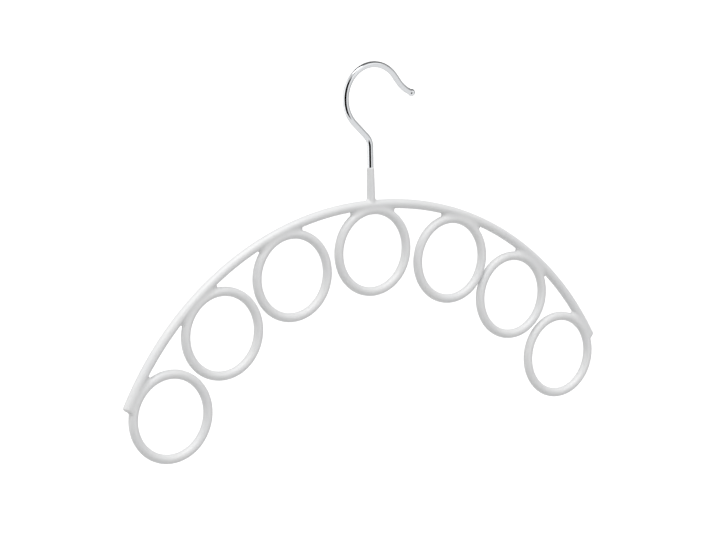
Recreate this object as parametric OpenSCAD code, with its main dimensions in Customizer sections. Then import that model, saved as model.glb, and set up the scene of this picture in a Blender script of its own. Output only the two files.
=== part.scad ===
// Scarf hanger: seven wire rings welded under a bow-shaped rod, dipped in a soft white coat, and
// a bright plated hook welded to the top of the bow. Everything lies in one plane, the XZ plane,
// with Z up. The origin is the middle of the hook's arc, where the rail passes along Y.
// The bow is bent as two arcs that meet at its middle. Angles along each of them are clockwise
// from the middle, seen from the front.

/* [Bow] */
// Centre-line radius of the bow's left half
left_r = 189.5; // [180:0.5:230]
// Centre-line radius of the bow's right half
right_r = 197; // [180:0.5:230]
// Angle by which the left half is lifted, out of line with the right half
left_lift = 1.4; // [0:0.1:3]
// Diameter of the bow's steel rod
bow_rod_d = 4; // [3:0.1:5]
// Thickness of the soft coat on the bow
bow_coat_t = 0.85; // [0.8:0.05:1.6]
// Length of rod left past the weld of the first ring, at the left end
left_tail = 7.2; // [5:0.2:12]
// Length of rod left past the weld of the last ring, at the right end
right_tail = 5; // [5:0.2:12]

/* [Rings] */
// Centre-line diameter of each ring
ring_d = 50; // [42:0.5:56]
// Diameter of the rings' steel wire
ring_wire_d = 3.8; // [3:0.1:4.5]
// Thickness of the soft coat on the rings
ring_coat_t = 0.85; // [0.8:0.05:1.6]
// Clear gap between each coated ring and the next one, from left to right
ring_gaps = [1.9, 2, 3.8, 4.3, 0.6, 2.4]; // [0.3:0.1:6]
// Which ring hangs under the middle of the bow, counted from the left
middle_ring = 4; // [3:1:5]

/* [Welds] */
// How deep each ring is pressed into the bow's rod where it is welded, from left to right
weld_sets = [0.1, 0.5, 0.8, 0.8, 0.4, 0.1, 1.2]; // [0.1:0.05:1.2]
// How deep the hook's shank is pressed into the bow's rod where it is welded
shank_set = 0.5; // [0.3:0.05:0.8]

/* [Webs] */
// Radius in which the coat runs out of the corner between the bow and a ring
web_r = 1.4; // [1:0.1:2.5]
// Thickness of the coat's web in that corner
web_t = 3; // [2:0.1:3.6]

/* [Neck] */
// Height of the neck coat's upper edge above the bow's centre line
neck_h = 23.2; // [16:0.2:30]
// Thickness of the neck coat at its upper edge
neck_top_t = 0.35; // [0.2:0.05:0.8]
// Thickness that the neck coat tapers to on the bow's centre line
neck_foot_t = 0.8; // [0.4:0.05:1]

/* [Hook] */
// Diameter of the hook's wire
hook_wire_d = 3.6; // [3:0.1:4.5]
// Inside width of the hook's arc, which holds the rail
hook_inner_d = 36.8; // [32:0.2:42]
// Height of the middle of the hook's arc above the bow's centre line
hook_rise = 64.8; // [58:0.2:80]
// How far the shank stands left of the middle of the hook's arc
shank_offset = 2.8; // [0:0.2:6]
// How far the shank is welded left of the middle of the bow
weld_offset = 0.7; // [0:0.1:3]
// Lean of the slanting stretch between the shank and the arc, from upright
lean = 45.8; // [35:0.2:55]
// Centre-line radius of the bend between the shank and the slanting stretch
shank_bend_r = 9.2; // [7:0.1:11]
// Slope of the wire where the arc ends at the mouth, from a straight drop
mouth_slope = 37.3; // [25:0.1:50]
// Length of the straight stretch after the arc
mouth_run = 4.5; // [2:0.1:10]
// Centre-line radius of the outward bend at the mouth
lip_r = 21.7; // [12:0.1:30]
// Turn of the outward bend at the mouth
lip_turn = 27.9; // [15:0.1:45]
// Length of wire between the outward bend and the middle of the ball
tip_run = 1.7; // [1:0.1:4]
// How far the ball headed on the wire's end stands out beyond the wire, all round
ball_proud = 0.4; // [0.2:0.05:1]

/* [Hidden] */
section_fn = 48;
sweep_fn = 240;
// How far a stretch of bar runs on inside the next one, so that the two are one solid
run_in = 0.2;
// How much thicker a bend is than the straight stretches that end inside it
swell = 0.02;
// How deep a web's round run-out is let into the two bars that it touches
web_let_in = 0.15;
// Rounding of the coat's edge over a cut end of the rod, as a share of the coat's thickness
end_rounding = 0.8;

ring_count = len(ring_gaps) + 1;
middle = floor(middle_ring);
RINGS = [1 : ring_count];

steel = "#8d9095";
plating = "#c9ccd0";
coat = "#e6e8ea";

bow_d = bow_rod_d + 2 * bow_coat_t;
ring_bar_d = ring_wire_d + 2 * ring_coat_t;
ring_outer_d = ring_d + ring_bar_d;

// The bow's two halves, and the half that a ring hangs under
LEFT = -1;
RIGHT = 1;
function half_of(i) = i < middle ? LEFT : RIGHT;
function half_r(half) = half == LEFT ? left_r : right_r;
function half_lift(half) = half == LEFT ? left_lift : 0;

// Distance between the centre lines of the bow's rod and a ring's wire, where they are welded
function weld_pitch(i) = (bow_rod_d + ring_wire_d) / 2 - weld_sets[i - 1];
// How far below the bow's centre line a ring's centre hangs
function hang(i) = weld_pitch(i) + ring_d / 2;

// The middle ring hangs square to the right half, so it is a little askew to the left one
middle_drop = left_r - hang(middle) * cos(left_lift);
middle_shift = hang(middle) * sin(left_lift);

// Distance of a ring's centre from the centre of one of the halves
function track_r(i, half) =
    i == middle && half == LEFT ? norm([middle_shift, middle_drop]) : half_r(half) - hang(i);
// Angle between the centres of ring i and the next one to its right
function ring_step(i, half) =
    let (a = track_r(i, half), b = track_r(i + 1, half), reach = ring_outer_d + ring_gaps[i - 1])
    acos((a ^ 2 + b ^ 2 - reach ^ 2) / (2 * a * b));
// Angle of a ring's centre along one of the halves
function ring_angle(i, half) =
    i < middle ? ring_angle(i + 1, LEFT) - ring_step(i, LEFT)
    : i > middle ? ring_angle(i - 1, RIGHT) + ring_step(i - 1, RIGHT)
    : half == LEFT ? atan2(middle_shift, middle_drop) : 0;

rod_from = ring_angle(1, LEFT) - left_tail / left_r * 180 / PI;
rod_to = ring_angle(ring_count, RIGHT) + right_tail / right_r * 180 / PI;

// The hook's path: up the shank, left along the slant, over the arc and out at the mouth
hook_r = (hook_inner_d + hook_wire_d) / 2;
slant_to_shank = (hook_r * cos(lean) - shank_offset) / sin(lean);
bend_reach = shank_bend_r * tan(lean / 2);
slant_run = slant_to_shank - bend_reach;
shank_top = hook_rise - hook_r * sin(lean) - slant_to_shank * cos(lean) - bend_reach;
shank_foot = bow_rod_d / 2 - shank_set;
arc_turn = lean + 180 - mouth_slope;

// A round bar bent about Y at the origin, from one angle to another
module bent_bar(r, d, from, to)
    rotate([90, 0, 0])
        rotate([0, 0, 90 - to])
            rotate_extrude(angle = to - from, $fn = sweep_fn)
                translate([r, 0]) circle(d = d, $fn = section_fn);

// A closed ring of round bar about Y at the origin
module round_ring(r, d)
    rotate([90, 0, 0])
        rotate_extrude(angle = 360, $fn = sweep_fn)
            translate([r, 0]) circle(d = d, $fn = section_fn);

// A straight stretch of the hook's wire along Z, with what follows it at its end
module straight(length) {
    translate([0, 0, -run_in])
        cylinder(d = hook_wire_d, h = length + 2 * run_in, $fn = section_fn);
    translate([0, 0, length]) children();
}

// A bend in the hook's wire coming up along Z: to the right if turn is positive, else left
module bend(r, turn) {
    side = sign(turn);
    start = -side * 90;
    translate([side * r, 0, 0]) {
        bent_bar(r, hook_wire_d + swell, min(start, start + turn), max(start, start + turn));
        rotate([0, turn, 0]) translate([-side * r, 0, 0]) children();
    }
}

// At the centre of one of the bow's halves
module at_half(half)
    translate([weld_offset - shank_offset, 0, -hook_rise])
        rotate([0, half_lift(half), 0]) translate([0, 0, -half_r(half)]) children();

// At a ring's centre, in line with one of the halves
module at_ring(i, half)
    at_half(half) rotate([0, ring_angle(i, half), 0]) translate([0, 0, track_r(i, half)])
        children();

// On the bow's centre line, where the shank stands
module at_shank() translate([-shank_offset, 0, -hook_rise]) children();

// A bar along the whole bow. The left half runs on a little inside the right one.
module bow_bar(d) {
    at_half(LEFT) bent_bar(left_r, d, rod_from, run_in / left_r * 180 / PI);
    at_half(RIGHT) bent_bar(right_r, d + swell, 0, rod_to);
}

module rod_solid() bow_bar(bow_rod_d);

module ring_wire_solid(i) at_ring(i, half_of(i)) round_ring(ring_d / 2, ring_wire_d);

module shank_solid()
    at_shank() translate([0, 0, shank_foot])
        cylinder(d = hook_wire_d, h = shank_top - shank_foot, $fn = section_fn);

// The coat over a cut end of the rod: a disc with a rounded edge, on a face at z = 0
module coat_end() {
    end_r = (bow_d - swell) / 2;
    edge_r = bow_coat_t * end_rounding;
    rotate_extrude($fn = sweep_fn) {
        translate([0, -run_in]) square([end_r - edge_r, bow_coat_t + run_in]);
        translate([0, -run_in]) square([end_r, bow_coat_t - edge_r + run_in]);
        intersection() {
            translate([end_r - edge_r, bow_coat_t - edge_r])
                circle(r = edge_r, $fn = section_fn);
            square([end_r, bow_coat_t]);
        }
    }
}

// The bow with its coat, solid right through
module coated_bow_solid() {
    bow_bar(bow_d);
    at_half(LEFT) rotate([0, rod_from, 0]) translate([0, 0, left_r]) rotate([0, -90, 0])
        coat_end();
    at_half(RIGHT) rotate([0, rod_to, 0]) translate([0, 0, right_r]) rotate([0, 90, 0])
        coat_end();
}

// The coat's web in the corner between ring i and the bow, left or right of the weld. Its round
// run-out touches both. The middle ring has its left web against the bow's left half.
module web(i, side) {
    half = i == middle ? side : half_of(i);
    bow_r = half_r(half);
    down = track_r(i, half);
    to_bow = bow_r - bow_d / 2 - web_r;
    to_ring = ring_outer_d / 2 + web_r;
    out_z = (to_bow ^ 2 - to_ring ^ 2 - down ^ 2) / (2 * down);
    out_x = side * sqrt(to_ring ^ 2 - out_z ^ 2);
    on_bow = [out_x, out_z + down] * bow_r / to_bow - [0, down];
    on_ring = [out_x, out_z] * ring_d / 2 / to_ring;
    at_ring(i, half) rotate([90, 0, 0])
        linear_extrude(height = web_t, center = true)
            difference() {
                polygon([[0, ring_d / 2 + weld_pitch(i) / 2], on_bow, [out_x, out_z], on_ring]);
                translate([out_x, out_z]) circle(r = web_r + web_let_in, $fn = section_fn);
            }
}

module bow_rod() color(steel) rod_solid();

module ring_wire(i)
    color(steel) difference() {
        ring_wire_solid(i);
        rod_solid();
    }

module hook_wire()
    color(plating) difference() {
        at_shank() translate([0, 0, shank_foot + run_in])
            straight(shank_top - shank_foot - run_in)
            bend(shank_bend_r, -lean)
            straight(slant_run)
            bend(hook_r, arc_turn)
            straight(mouth_run)
            bend(lip_r, -lip_turn)
            straight(tip_run)
            sphere(d = hook_wire_d + 2 * ball_proud, $fn = section_fn);
        rod_solid();
    }

module bow_coating()
    color(coat) difference() {
        coated_bow_solid();
        rod_solid();
        for (i = RINGS) ring_wire_solid(i);
        shank_solid();
    }

module ring_coating(i)
    color(coat) difference() {
        union() {
            at_ring(i, half_of(i)) round_ring(ring_d / 2, ring_bar_d);
            if (i > 1) web(i, LEFT);
            if (i < ring_count) web(i, RIGHT);
        }
        ring_wire_solid(i);
        coated_bow_solid();
    }

module neck_coating()
    color(coat) difference() {
        at_shank()
            cylinder(
                d1 = hook_wire_d + 2 * neck_foot_t, d2 = hook_wire_d + 2 * neck_top_t,
                h = neck_h, $fn = section_fn
            );
        shank_solid();
        coated_bow_solid();
    }

bow_rod();
for (i = RINGS) ring_wire(i);
hook_wire();
bow_coating();
for (i = RINGS) ring_coating(i);
neck_coating();
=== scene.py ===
import math
from collections import namedtuple

import bmesh
import bpy
import numpy as np
from mathutils import Matrix, Vector


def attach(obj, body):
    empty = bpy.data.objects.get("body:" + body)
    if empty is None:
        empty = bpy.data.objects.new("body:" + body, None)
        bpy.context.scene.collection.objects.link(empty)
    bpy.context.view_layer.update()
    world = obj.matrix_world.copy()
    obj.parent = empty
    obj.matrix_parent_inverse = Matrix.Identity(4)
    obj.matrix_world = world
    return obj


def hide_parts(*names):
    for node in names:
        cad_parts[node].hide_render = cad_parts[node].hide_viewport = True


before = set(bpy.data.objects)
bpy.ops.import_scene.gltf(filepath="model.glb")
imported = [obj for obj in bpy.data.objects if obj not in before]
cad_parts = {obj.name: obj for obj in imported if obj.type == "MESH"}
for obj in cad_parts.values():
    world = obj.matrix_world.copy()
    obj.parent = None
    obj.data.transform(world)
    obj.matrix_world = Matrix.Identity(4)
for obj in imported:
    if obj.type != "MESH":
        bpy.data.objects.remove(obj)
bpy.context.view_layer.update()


# The steel core. Cold-drawn mild steel rod is bent into the bow, and seven rings of slightly thinner
# wire, butt-welded shut, are spot-welded under it. It carries the load, and the coat hides it all.
MM = 0.001  # sizes are written in millimetres, and a Blender unit is a metre
RINGS = range(1, 8)  # numbered from the hanger's left
STEEL_DARK = "#7d8084"
STEEL_LIGHT = "#9a9da1"
DRAWING_GRAIN = 0.6  # mm between the faint marks that the drawing die leaves


def linear(hex_colour):
    """The linear RGBA of an sRGB hex colour."""
    parts = [int(hex_colour[i : i + 2], 16) / 255 for i in (1, 3, 5)]
    return [p / 12.92 if p <= 0.04045 else ((p + 0.055) / 1.055) ** 2.4 for p in parts] + [1.0]


def add_node(tree, kind, settings=None, links=None):
    """Adds a node, sets its sockets or properties by name, and links sockets to its inputs."""
    made = tree.nodes.new(kind)
    for name, value in (settings or {}).items():
        if isinstance(name, int) or name in made.inputs:
            made.inputs[name].default_value = value
        else:
            setattr(made, name, value)
    for name, source in (links or {}).items():
        tree.links.new(source, made.inputs[name])
    return made


def new_material(name):
    """An empty node material, its tree and its output node."""
    material = bpy.data.materials.new(name)
    material.use_nodes = True
    material.node_tree.nodes.clear()
    return material, material.node_tree, material.node_tree.nodes.new("ShaderNodeOutputMaterial")


# Cold-drawn mild steel wire: grey metal with a dull sheen and faint marks from the die.
steel, tree, out = new_material("drawn_mild_steel")
place = add_node(tree, "ShaderNodeTexCoord")
grain = add_node(
    tree, "ShaderNodeTexNoise",
    {"Scale": 1 / (DRAWING_GRAIN * MM), "Detail": 4.0, "Roughness": 0.6},
    {"Vector": place.outputs["Object"]},
)
tone = add_node(
    tree, "ShaderNodeMix",
    {"data_type": "RGBA", 6: linear(STEEL_DARK), 7: linear(STEEL_LIGHT)},
    {0: grain.outputs["Fac"]},
)
sheen = add_node(
    tree, "ShaderNodeMapRange",
    {"To Min": 0.3, "To Max": 0.5}, {"Value": grain.outputs["Fac"]},
)
relief = add_node(
    tree, "ShaderNodeBump",
    {"Strength": 0.3, "Distance": 0.02 * MM}, {"Height": grain.outputs["Fac"]},
)
shader = add_node(
    tree, "ShaderNodeBsdfPrincipled", {"Metallic": 1.0},
    {
        "Base Color": tone.outputs[2], "Roughness": sheen.outputs["Result"],
        "Normal": relief.outputs["Normal"],
    },
)
tree.links.new(shader.outputs["BSDF"], out.inputs["Surface"])

for name in ["bow_rod"] + [f"ring_wire_{number}" for number in RINGS]:
    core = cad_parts[name]
    core.data.materials.clear()
    core.data.materials.append(steel)


# The hook. One length of round steel wire is bent over pins into a shank, a slant, an arc for the
# rail and an outward lip, its end is headed into a ball, and it is polished and chrome plated.
ACROSS = Vector((0, 1, 0))  # the hanger is bent in the XZ plane, so every bend turns about Y
HOOK_WIRE_D = 3.6
HOOK_SIDES = 40
SHANK_X = -2.8
SHANK_FOOT_Z = -63.3
SHANK_TOP_Z = -29.34
SHANK_BEND_R = 9.2
SLANT_TURN = 45.8  # degrees, as the other turns are
SLANT_RUN = 11.85
ARC_R = 20.2
ARC_TURN = 188.5
MOUTH_RUN = 4.5
LIP_R = 21.7
LIP_TURN = 27.9
TIP_RUN = 1.7  # from the end of the lip to the middle of the ball
BALL_R = 2.2
GROOVE_R = 1.62
BEND_STEP = 3.0  # degrees of turn between two rings of vertices, twice that in the tight bend
FEWEST_BEND_STEPS = 4
BALL_STEPS = 16
CHROME_DEEP = "#dfe1e4"
CHROME_PALE = "#eceef0"
POLISH_MARK = 1.5  # mm across the faint waves that polishing leaves under the plating


def bend_wire(mesh, end, at, heading, radius, turn):
    """Spins the wire's open end round a bend, to the right if turn is positive, else left."""
    side = math.copysign(1, turn)
    right = Vector((heading.z, 0, -heading.x))
    middle = at + right * side * radius
    step = BEND_STEP if radius > SHANK_BEND_R else 2 * BEND_STEP
    spun = bmesh.ops.spin(
        mesh, geom=end, cent=middle, axis=ACROSS, angle=math.radians(turn),
        steps=max(FEWEST_BEND_STEPS, round(abs(turn) / step)), use_merge=False,
    )
    rotation = Matrix.Rotation(math.radians(turn), 3, "Y")
    return spun["geom_last"], middle + rotation @ (at - middle), rotation @ heading


def run_wire(mesh, end, at, heading, ahead, radius_change=1.0):
    """Draws the wire's open end straight ahead, and makes it thicker or thinner there."""
    edges = [e for e in end if isinstance(e, bmesh.types.BMEdge)]
    drawn = bmesh.ops.extrude_edge_only(mesh, edges=edges)["geom"]
    verts = [v for v in drawn if isinstance(v, bmesh.types.BMVert)]
    bmesh.ops.translate(mesh, verts=verts, vec=heading * ahead)
    at = at + heading * ahead
    grow = (radius_change,) * 3
    bmesh.ops.scale(mesh, verts=verts, vec=grow, space=Matrix.Translation(-at))
    return [g for g in drawn if not isinstance(g, bmesh.types.BMFace)], at, heading


wire = bmesh.new()
foot = Vector((SHANK_X, 0, SHANK_FOOT_Z))
bmesh.ops.create_circle(
    wire, cap_ends=True, segments=HOOK_SIDES, radius=HOOK_WIRE_D / 2,
    matrix=Matrix.Translation(foot),
)
tip = (wire.verts[:] + wire.edges[:], foot, Vector((0, 0, 1)))
tip = run_wire(wire, *tip, HOOK_WIRE_D / 2)  # so that the cut foot doesn't shade the shank
tip = run_wire(wire, *tip, SHANK_TOP_Z - SHANK_FOOT_Z - HOOK_WIRE_D / 2)
tip = bend_wire(wire, *tip, SHANK_BEND_R, -SLANT_TURN)
tip = run_wire(wire, *tip, SLANT_RUN)
tip = bend_wire(wire, *tip, ARC_R, ARC_TURN)
tip = run_wire(wire, *tip, MOUTH_RUN)
tip = bend_wire(wire, *tip, LIP_R, -LIP_TURN)

# The heading die pinches a shallow groove, then the ball swells out of the wire. Each pair is how
# far past the ball's middle a ring of vertices lies, and its radius.
profile = [(-1.68, HOOK_WIRE_D / 2), (-1.56, 1.70), (-1.42, GROOVE_R)]
ball_from = 0.12 - math.acos(HOOK_WIRE_D / 2 / BALL_R)  # clear of the groove
profile += [
    (BALL_R * math.sin(angle), BALL_R * math.cos(angle))
    for angle in np.linspace(ball_from, math.radians(84), BALL_STEPS)
]
reached, thickness = -TIP_RUN, HOOK_WIRE_D / 2
for ahead, radius in profile:
    tip = run_wire(wire, *tip, ahead - reached, radius / thickness)
    reached, thickness = ahead, radius
end, at, heading = tip
bmesh.ops.pointmerge(
    wire, verts=[v for v in end if isinstance(v, bmesh.types.BMVert)],
    merge_co=at + heading * (BALL_R - reached),
)
bmesh.ops.recalc_face_normals(wire, faces=wire.faces)
bmesh.ops.scale(wire, verts=wire.verts, vec=(MM,) * 3)
for face in wire.faces:
    face.smooth = True
hook = bpy.data.objects.new("hook", bpy.data.meshes.new("hook"))
wire.to_mesh(hook.data)
wire.free()
bpy.context.scene.collection.objects.link(hook)

# Decorative chrome on polished steel: a near mirror, a little waved by the polishing under it.
chrome, tree, out = new_material("chrome_plate")
place = add_node(tree, "ShaderNodeTexCoord")
waves = add_node(
    tree, "ShaderNodeTexNoise",
    {"Scale": 1 / (POLISH_MARK * MM), "Detail": 3.0, "Roughness": 0.5},
    {"Vector": place.outputs["Object"]},
)
tone = add_node(
    tree, "ShaderNodeMix",
    {"data_type": "RGBA", 6: linear(CHROME_DEEP), 7: linear(CHROME_PALE)},
    {0: waves.outputs["Fac"]},
)
sheen = add_node(
    tree, "ShaderNodeMapRange",
    {"To Min": 0.03, "To Max": 0.07}, {"Value": waves.outputs["Fac"]},
)
relief = add_node(
    tree, "ShaderNodeBump",
    {"Strength": 0.15, "Distance": 0.01 * MM}, {"Height": waves.outputs["Fac"]},
)
shader = add_node(
    tree, "ShaderNodeBsdfPrincipled", {"Metallic": 1.0},
    {
        "Base Color": tone.outputs[2], "Roughness": sheen.outputs["Result"],
        "Normal": relief.outputs["Normal"],
    },
)
tree.links.new(shader.outputs["BSDF"], out.inputs["Surface"])
hook.data.materials.append(chrome)
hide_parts("hook_wire")
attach(hook, "root")


# The coat. The welded hanger is warmed and dipped upside down in white vinyl plastisol up to the
# hook's neck, then cured, so that one soft skin covers bow, rings and neck and fills each corner.
BOW_MIDDLE = Vector((-2.1, 0, -64.8))  # where the two arcs of the bow meet
LEFT_R = 189.5
RIGHT_R = 197.0
LEFT_LIFT = 1.4  # degrees by which the left arc is lifted, out of line with the right one
LEFT_END = -62.79  # degrees clockwise from straight up, about the left arc's centre
RIGHT_END = 60.81
ROD_D = 4.0
RING_R = 25.0
RING_WIRE_D = 3.8
RING_MIDDLES = [
    Vector((x, 0, z))
    for x, z in (
        (-146.76, -175.40), (-110.43, -130.96), (-60.68, -102.13), (-2.10, -92.90),
        (56.68, -103.89), (105.11, -132.20), (143.55, -175.50),
    )
]
COAT_T = 0.85
COAT_END_EDGE = 1.3  # how round the coat is over the rod's cut ends
NECK_TOP_Z = -41.6
NECK_TOP_R = 2.15
NECK_FOOT_R = 2.6
NECK_EDGE = 0.3
WEB_R = 1.4  # half the gap between ring and bow that a web can span
RIM_FILL_R = 0.6  # of the liquid's hollow in the corner at a web's rim
WELD_FILL_R = 14.0  # of the same hollow at the weld, where more coat gathers
END_FILL = 1.3  # how far the fill goes on past the end of the bow
WEB_LATENESS = 2  # how late the fill thins out on its way to a web's rim
END_LATENESS = 8  # and on its way to the end of the bow
NECK_FILL_R = 2.2
SKIN_GRAIN = 0.7  # between the skin's vertices
INSIDE = 0.4  # how far inside the finished skin its rough shape lies
WEB_PLATE = 1.6
BAR_SIDES = 24
BAR_STEP = 1.5  # length between two rings of a rough bar's vertices
PULLS = 4  # times that the rough shape is pulled onto the finished skin
PULL_STEPS = 4
ROLL_STEPS = 10  # that bring the rolled ball to rest against two bars
TINY = 1e-9  # keeps a length from being divided by zero
COAT_WHITE = "#e8e8e7"
COAT_SHADE = "#e1e2e4"
CLOUD = 22.0  # mm across the soft changes of tone where the coat is thicker or thinner
DIP_RIPPLE = 3.5  # mm across the flow marks of the dipped skin

bow_bar_r = ROD_D / 2 + COAT_T
ring_bar_r = RING_WIRE_D / 2 + COAT_T


def lean_about(point, centre):
    """The direction of a point from an arc's centre, clockwise from straight up."""
    return math.atan2(point.x - centre.x, point.z - centre.z)


Arc = namedtuple("Arc", "centre radius start finish")  # from and to, clockwise from straight up
lift = math.radians(LEFT_LIFT)
left_centre = BOW_MIDDLE - LEFT_R * Vector((math.sin(lift), 0, math.cos(lift)))
right_centre = BOW_MIDDLE - Vector((0, 0, RIGHT_R))
left_half = Arc(left_centre, LEFT_R, math.radians(LEFT_END), lift)
right_half = Arc(right_centre, RIGHT_R, 0.0, math.radians(RIGHT_END))


def half_over(x):
    """The half of the bow that lies over x."""
    return left_half if x < BOW_MIDDLE.x else right_half


def lay_bar(mesh, centre, radius, thickness, start, turn, closed=False):
    """Spins a round bar about Y, from an angle clockwise from straight up."""
    rim = bmesh.ops.create_circle(
        mesh, segments=BAR_SIDES, radius=thickness,
        matrix=(
            Matrix.Translation(centre) @ Matrix.Rotation(start, 4, "Y")
            @ Matrix.Translation((0, 0, radius)) @ Matrix.Rotation(math.radians(90), 4, "Y")
        ),
    )["verts"]
    edges = {e for v in rim for e in v.link_edges}
    bmesh.ops.spin(
        mesh, geom=rim + list(edges), cent=centre, axis=ACROSS, angle=turn,
        steps=round(abs(turn) * radius / BAR_STEP), use_merge=closed,
    )


rough = bmesh.new()
for half in (left_half, right_half):
    inset = (COAT_T - INSIDE) / half.radius
    lay_bar(
        rough, half.centre, half.radius, bow_bar_r - INSIDE,
        half.start - inset, half.finish - half.start + 2 * inset,
    )
fills = []  # left and right of each ring's weld: how far the fill goes, and how late it thins
for number, middle in zip(RINGS, RING_MIDDLES):
    lay_bar(rough, middle, RING_R, ring_bar_r - INSIDE, 0, 2 * math.pi, closed=True)
    # A flat plate goes in each corner between ring and bow, where the coat will make a web
    for side in (-1, 1):
        centre, radius, start, finish = half_over(middle.x + side)
        if (number, side) in ((RINGS[0], -1), (RINGS[-1], 1)):
            tail = radius * abs((start if side < 0 else finish) - lean_about(middle, centre))
            fills.append((tail + COAT_T + END_FILL, END_LATENESS))
            continue
        span = (middle - centre).length
        up = (middle - centre) / span
        to_bow, to_ring = radius - bow_bar_r - WEB_R, RING_R + ring_bar_r + WEB_R
        ahead = (to_bow ** 2 - to_ring ** 2 + span ** 2) / (2 * span)
        aside = side * math.sqrt(to_bow ** 2 - ahead ** 2)
        fills.append((abs(aside) + RIM_FILL_R, WEB_LATENESS))
        hollow = centre + up * ahead + Vector((up.z, 0, -up.x)) * aside
        corners = [
            centre + up * (radius + span + RING_R) / 2,
            centre + (hollow - centre) * radius / to_bow,
            middle + (hollow - middle) * RING_R / to_ring,
        ]
        plate = [rough.verts.new(c - ACROSS * WEB_PLATE / 2) for c in corners]
        drawn = bmesh.ops.extrude_face_region(rough, geom=[rough.faces.new(plate)])["geom"]
        bmesh.ops.translate(
            rough, verts=[g for g in drawn if isinstance(g, bmesh.types.BMVert)],
            vec=ACROSS * WEB_PLATE,
        )
neck_height = NECK_TOP_Z - BOW_MIDDLE.z
bmesh.ops.create_cone(
    rough, cap_ends=True, segments=BAR_SIDES,
    radius1=NECK_FOOT_R - INSIDE, radius2=NECK_TOP_R - INSIDE, depth=neck_height - INSIDE,
    matrix=Matrix.Translation((SHANK_X, 0, BOW_MIDDLE.z + (neck_height - INSIDE) / 2)),
)
bmesh.ops.holes_fill(rough, edges=rough.edges)
bmesh.ops.scale(rough, verts=rough.verts, vec=(MM,) * 3)
bmesh.ops.recalc_face_normals(rough, faces=rough.faces)
rough_mesh = bpy.data.meshes.new("rough_skin")
rough.to_mesh(rough_mesh)
rough.free()
rough_skin = bpy.data.objects.new("rough_skin", rough_mesh)
bpy.context.scene.collection.objects.link(rough_skin)
melt = rough_skin.modifiers.new("melt", "REMESH")
melt.mode = "VOXEL"
melt.voxel_size = SKIN_GRAIN * MM
bpy.context.view_layer.update()
melted = bpy.data.meshes.new_from_object(
    rough_skin.evaluated_get(bpy.context.evaluated_depsgraph_get())
)
bpy.data.objects.remove(rough_skin)
bpy.data.meshes.remove(rough_mesh)


def round_ended(out, past, edge, outwards, endwards):
    """Distance and outward normal of a bar, from how far out of its side and past its end it is."""
    out, past = out + edge, past + edge
    clear = np.hypot(np.maximum(out, 0), np.maximum(past, 0))
    distance = np.minimum(np.maximum(out, past), 0) + clear - edge
    by_side = np.where(clear > 0, np.maximum(out, 0) / np.maximum(clear, TINY), out >= past)
    by_end = np.where(clear > 0, np.maximum(past, 0) / np.maximum(clear, TINY), out < past)
    return distance, by_side[:, None] * outwards + by_end[:, None] * endwards


def from_bow(points):
    """Distance and normal of the coated bow at points in millimetres."""
    on_left = points[:, 0] < BOW_MIDDLE.x
    centre_x, centre_z, radius = (
        np.where(on_left, one, other) for one, other in zip(
            (left_centre.x, left_centre.z, LEFT_R), (right_centre.x, right_centre.z, RIGHT_R)
        )
    )
    x, z = points[:, 0] - centre_x, points[:, 2] - centre_z
    reach, turn = np.hypot(x, z), np.arctan2(x, z)
    out = reach - radius
    thick = np.maximum(np.hypot(out, points[:, 1]), TINY)
    outwards = np.stack([out * x / reach, points[:, 1], out * z / reach], 1) / thick[:, None]
    past = radius * np.where(on_left, left_half.start - turn, turn - right_half.finish) - COAT_T
    way = np.where(on_left, -1.0, 1.0) / reach
    endwards = np.stack([z * way, 0 * x, -x * way], 1)
    return round_ended(thick - bow_bar_r, past, COAT_END_EDGE, outwards, endwards)


def from_ring(points, middle):
    """Distance and normal of a coated ring, each point with its own ring's middle."""
    x, z = points[:, 0] - middle[:, 0], points[:, 2] - middle[:, 1]
    reach = np.maximum(np.hypot(x, z), TINY)
    out = reach - RING_R
    thick = np.maximum(np.hypot(out, points[:, 1]), TINY)
    outwards = np.stack([out * x / reach, points[:, 1], out * z / reach], 1) / thick[:, None]
    return thick - ring_bar_r, outwards


def from_neck(points):
    """Distance and normal of the neck's tapered coat."""
    x, y, z = points[:, 0] - SHANK_X, points[:, 1], points[:, 2]
    thick = np.maximum(np.hypot(x, y), TINY)
    up = np.clip((z - BOW_MIDDLE.z) / neck_height, 0, 1)
    taper = (NECK_FOOT_R - NECK_TOP_R) / neck_height
    outwards = np.stack([x / thick, y / thick, taper + 0 * x], 1)
    endwards = np.tile([0.0, 0.0, 1.0], (len(points), 1))
    radius = NECK_FOOT_R + (NECK_TOP_R - NECK_FOOT_R) * up
    return round_ended(thick - radius, z - NECK_TOP_Z, NECK_EDGE, outwards, endwards)


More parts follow.
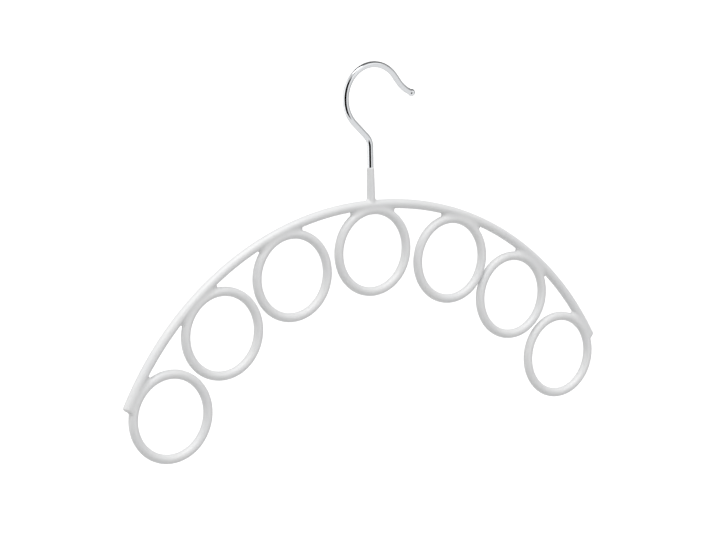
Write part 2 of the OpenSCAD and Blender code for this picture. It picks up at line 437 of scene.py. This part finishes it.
def filled(points, one, other, fill_r):
    """The union of two bars, its corner filled as if by a ball of fill_r rolled along it."""
    (gap_1, away_1), (gap_2, away_2) = one(points), other(points)
    nearer_1 = (gap_1 <= gap_2)[:, None]
    distance, normal = np.minimum(gap_1, gap_2), np.where(nearer_1, away_1, away_2)
    # In the wedge between the bars, a ball that touches one of them reaches into the other
    beside_1 = other(points + (fill_r - gap_1)[:, None] * away_1)[0]
    beside_2 = one(points + (fill_r - gap_2)[:, None] * away_2)[0]
    wedge = (beside_1 < fill_r) & (beside_2 < fill_r)
    # Each step brings the ball's middle closer to fill_r from both bars
    ball = points.copy()
    for _ in range(ROLL_STEPS):
        (gap_1, away_1), (gap_2, away_2) = one(ball), other(ball)
        moved = ball - points
        push_1 = fill_r - gap_1 + (away_1 * moved).sum(1)
        push_2 = fill_r - gap_2 + (away_2 * moved).sum(1)
        alike = (away_1 * away_2).sum(1)
        apart = np.maximum(1 - alike * alike, 0.02)  # bars side by side would divide by zero
        by_1 = ((push_1 - alike * push_2) / apart)[:, None] * away_1
        by_2 = ((push_2 - alike * push_1) / apart)[:, None] * away_2
        ball = points + by_1 + by_2
    to_ball = ball - points
    room = np.maximum(np.linalg.norm(to_ball, axis=1), TINY)
    wedge &= (room > 0.2) & (room < 3 * fill_r)  # else the ball has rolled away
    distance = np.where(wedge, fill_r - room, distance)
    return distance, np.where(wedge[:, None], to_ball / room[:, None], normal)


ring_x, ring_z = (np.array([m[axis] for m in RING_MIDDLES]) for axis in (0, 2))
ring_lean = np.array([lean_about(m, half_over(m.x + 1).centre) for m in RING_MIDDLES])
fills = np.array(fills).reshape(-1, 2, 2)


def skin_at(points):
    """Distance and normal of the finished coat."""
    x, z = points[:, 0], points[:, 2]
    to_rings = np.hypot(x[:, None] - ring_x, z[:, None] - ring_z)
    nearest = np.abs(to_rings - RING_R).argmin(1)
    middle, lean = np.stack([ring_x, ring_z], 1)[nearest], ring_lean[nearest]
    along = (x - middle[:, 0]) * np.cos(lean) - (z - middle[:, 1]) * np.sin(lean)
    reach, lateness = fills[nearest, (along > 0).astype(int)].T
    share = np.clip(1 - np.abs(along / reach) ** lateness, 0, 1) ** 2
    fill_r = RIM_FILL_R + (WELD_FILL_R - RIM_FILL_R) * share
    distance, normal = filled(points, from_bow, lambda at: from_ring(at, middle), fill_r)
    by_neck = np.flatnonzero((np.abs(x - SHANK_X) < 8) & (z > BOW_MIDDLE.z - 3))  # with room to spare
    neck_fill_r = np.full(len(by_neck), NECK_FILL_R)
    to_neck, neck_normal = filled(points[by_neck], from_bow, from_neck, neck_fill_r)
    lower = to_neck < distance[by_neck]
    distance[by_neck[lower]], normal[by_neck[lower]] = to_neck[lower], neck_normal[lower]
    return distance, normal


skin = bmesh.new()
skin.from_mesh(melted)
bpy.data.meshes.remove(melted)
for pull in range(PULLS):
    points = np.array([v.co for v in skin.verts]) / MM
    for _ in range(PULL_STEPS):
        distance, normal = skin_at(points)
        points -= distance[:, None] * normal
    for v, co in zip(skin.verts, points * MM):
        v.co = co
    if pull < PULLS - 1:  # spread the vertices evenly again
        bmesh.ops.smooth_vert(
            skin, verts=skin.verts, factor=0.5, use_axis_x=True, use_axis_y=True, use_axis_z=True,
        )
bmesh.ops.recalc_face_normals(skin, faces=skin.faces)
for face in skin.faces:
    face.smooth = True
coat = bpy.data.objects.new("coat", bpy.data.meshes.new("coat"))
skin.to_mesh(coat.data)
skin.free()
bpy.context.scene.collection.objects.link(coat)

# Soft white vinyl, dipped and cured: smooth and satin, with faint flow marks and a slight cloud.
vinyl, tree, out = new_material("dipped_white_vinyl")
place = add_node(tree, "ShaderNodeTexCoord")
cloud = add_node(
    tree, "ShaderNodeTexNoise",
    {"Scale": 1 / (CLOUD * MM), "Detail": 2.0, "Roughness": 0.5},
    {"Vector": place.outputs["Object"]},
)
tone = add_node(
    tree, "ShaderNodeMix",
    {"data_type": "RGBA", 6: linear(COAT_SHADE), 7: linear(COAT_WHITE)},
    {0: cloud.outputs["Fac"]},
)
ripple = add_node(
    tree, "ShaderNodeTexNoise",
    {"Scale": 1 / (DIP_RIPPLE * MM), "Detail": 3.0, "Roughness": 0.45},
    {"Vector": place.outputs["Object"]},
)
sheen = add_node(
    tree, "ShaderNodeMapRange",
    {"To Min": 0.3, "To Max": 0.42}, {"Value": ripple.outputs["Fac"]},
)
relief = add_node(
    tree, "ShaderNodeBump",
    {"Strength": 0.35, "Distance": 0.06 * MM}, {"Height": ripple.outputs["Fac"]},
)
shader = add_node(
    tree, "ShaderNodeBsdfPrincipled", {"IOR": 1.53},
    {
        "Base Color": tone.outputs[2], "Roughness": sheen.outputs["Result"],
        "Normal": relief.outputs["Normal"],
    },
)
tree.links.new(shader.outputs["BSDF"], out.inputs["Surface"])
coat.data.materials.append(vinyl)
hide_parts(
    "bow_coating", "neck_coating", *[f"ring_coating_{number}" for number in RINGS]
)
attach(coat, "root")


# The studio. The hanger hangs free, well above a floor of white paper, in a white surround, under
# one broad soft lamp. Boards round it light nothing: the plating mirrors them, and so shows its
# round as dark lines and clear stripes.
FLOOR_Z = -1400.0
FLOOR_SIDE = 60000.0
SURROUND_LIGHT = 0.46  # of the white walls on the hanger
OVERHEAD_LIGHT = 0.7
OVERHEAD_SPREAD = 60  # degrees across the lamp, which is what softens its shadows
LAMP_SIDE = Vector((-0.23, -0.33, 0.915))  # from the hanger towards the lamp
WHITE = linear("#ffffff")
PAPER_GREY = "#c9c9c9"
PAPER_GLOW = 0.52  # which lifts the lit paper to white, seen or mirrored


def looked_at(tree):
    """1 where a surface is seen, straight, mirrored in plating or through glass, else 0."""
    ray = add_node(tree, "ShaderNodeLightPath")
    through = add_node(
        tree, "ShaderNodeMath", {"operation": "MAXIMUM"},
        {0: ray.outputs["Is Glossy Ray"], 1: ray.outputs["Is Transmission Ray"]},
    )
    any_look = add_node(
        tree, "ShaderNodeMath", {"operation": "MAXIMUM"},
        {0: ray.outputs["Is Camera Ray"], 1: through.outputs["Value"]},
    )
    return any_look.outputs["Value"]


floor_mesh = bmesh.new()
bmesh.ops.create_grid(
    floor_mesh, x_segments=1, y_segments=1, size=FLOOR_SIDE * MM / 2,
    matrix=Matrix.Translation((0, 0, FLOOR_Z * MM)),
)
floor = bpy.data.objects.new("floor", bpy.data.meshes.new("floor"))
floor_mesh.to_mesh(floor.data)
floor_mesh.free()
bpy.context.scene.collection.objects.link(floor)

# Matt white paper: it shows the hanger's soft shadow, and no shine.
paper, tree, out = new_material("white_paper_floor")
matt = add_node(tree, "ShaderNodeBsdfDiffuse", {"Color": linear(PAPER_GREY)})
glow = add_node(tree, "ShaderNodeEmission", {"Color": WHITE, "Strength": PAPER_GLOW})
both = add_node(
    tree, "ShaderNodeAddShader", None, {0: matt.outputs["BSDF"], 1: glow.outputs["Emission"]}
)
paper_look = add_node(
    tree, "ShaderNodeMixShader", None,
    {0: looked_at(tree), 1: matt.outputs["BSDF"], 2: both.outputs["Shader"]},
)
tree.links.new(paper_look.outputs["Shader"], out.inputs["Surface"])
floor.data.materials.append(paper)

# White walls all round: they light the hanger softly, and at a strength of 1 they look white.
world = bpy.data.worlds.new("white_surround")
bpy.context.scene.world = world
world.use_nodes = True
tree = world.node_tree
tree.nodes.clear()
soft, white = (
    add_node(tree, "ShaderNodeBackground", {"Color": WHITE, "Strength": strength})
    for strength in (SURROUND_LIGHT, 1.0)
)
surround = add_node(
    tree, "ShaderNodeMixShader", None,
    {0: looked_at(tree), 1: soft.outputs["Background"], 2: white.outputs["Background"]},
)
add_node(tree, "ShaderNodeOutputWorld", None, {"Surface": surround.outputs["Shader"]})

sun = bpy.data.lights.new("overhead_soft_lamp", "SUN")
sun.energy = math.pi * OVERHEAD_LIGHT
sun.angle = math.radians(OVERHEAD_SPREAD)
stand = bpy.data.objects.new("overhead_soft_lamp", sun)
stand.rotation_mode = "QUATERNION"
stand.rotation_quaternion = (-LAMP_SIDE).to_track_quat("-Z", "Y")
bpy.context.scene.collection.objects.link(stand)

# Each board: how far round from the camera, to the right, and how far up its middle stands, its
# width and height, all as angles in degrees at the hook, and how bright it is.
BOARD_REACH = 1100.0
BOARDS = {
    "dark_opening_round_camera": (-12, 1, 76, 86, 0.0),
    "dim_board_above_and_behind": (160, 58, 88, 72, 0.14),
    "dim_board_overhead": (-115, 72, 26, 24, 0.14),
    "grey_board_over_camera": (-14, 54, 60, 24, 0.5),
    "grey_board_right": (104, 4, 44, 44, 0.48),
    "grey_board_behind": (180, -4, 124, 110, 0.6),
    "grey_board_upper_left": (-112, 56, 60, 32, 0.8),
    "pale_board_front_right": (48, -8, 56, 30, 0.85),
    "pale_board_below": (0, -90, 150, 150, 0.88),
    "bright_board_front_right": (50, 36, 62, 60, 1.05),
    "bright_board_left": (-95, 4, 62, 84, 1.2),
}
BOARDS_ROUND = 34.85  # degrees that they are all turned to the left, as the camera is

for name, (round_to, up_to, wide, high, brightness) in BOARDS.items():
    board_mesh = bmesh.new()
    reach = BOARD_REACH * (1 + brightness / 4)  # the darker ones stand in front
    bmesh.ops.create_grid(board_mesh, x_segments=1, y_segments=1, size=reach * MM)
    half_size = [math.tan(math.radians(angle / 2)) for angle in (wide, high)]
    bmesh.ops.scale(board_mesh, verts=board_mesh.verts, vec=(*half_size, 1))
    bmesh.ops.transform(
        board_mesh, verts=board_mesh.verts,
        matrix=(
            Matrix.Rotation(math.radians(round_to - BOARDS_ROUND), 4, "Z")
            @ Matrix.Rotation(math.radians(90 - up_to), 4, "X")
            @ Matrix.Translation((0, 0, reach * MM))
        ),
    )
    board = bpy.data.objects.new(name, bpy.data.meshes.new(name))
    board_mesh.to_mesh(board.data)
    board_mesh.free()
    bpy.context.scene.collection.objects.link(board)
    paint, tree, out = new_material(name)
    glow = add_node(tree, "ShaderNodeEmission", {"Color": WHITE, "Strength": brightness})
    tree.links.new(glow.outputs["Emission"], out.inputs["Surface"])
    board.data.materials.append(paint)
    board.visible_camera = False
    board.visible_diffuse = False
    board.visible_shadow = False
    board.visible_transmission = False
    board.visible_volume_scatter = False


# The camera stands left of the hanger's front and a little above it, with a long lens.
CAMERA_PLACE = Vector((-817.75, -1155.17, 126.62))
CAMERA_ROUND = 34.8544  # degrees that it is turned to the left of the hanger's front
CAMERA_DIP = 9.287  # degrees that it looks down
CAMERA_ROLL = -0.9208

camera_data = bpy.data.cameras.new("camera")
camera_data.sensor_width = 36.0
camera_data.lens = 118.45
camera_data.clip_start = 0.05
camera_data.clip_end = 50.0
camera = bpy.data.objects.new("camera", camera_data)
camera.matrix_world = (
    Matrix.Translation(CAMERA_PLACE * MM)
    @ Matrix.Rotation(math.radians(-CAMERA_ROUND), 4, "Z")
    @ Matrix.Rotation(math.radians(90 - CAMERA_DIP), 4, "X")
    @ Matrix.Rotation(math.radians(CAMERA_ROLL), 4, "Z")
)
bpy.context.scene.collection.objects.link(camera)
bpy.context.scene.camera = camera
bpy.context.scene.view_settings.view_transform = "Standard"
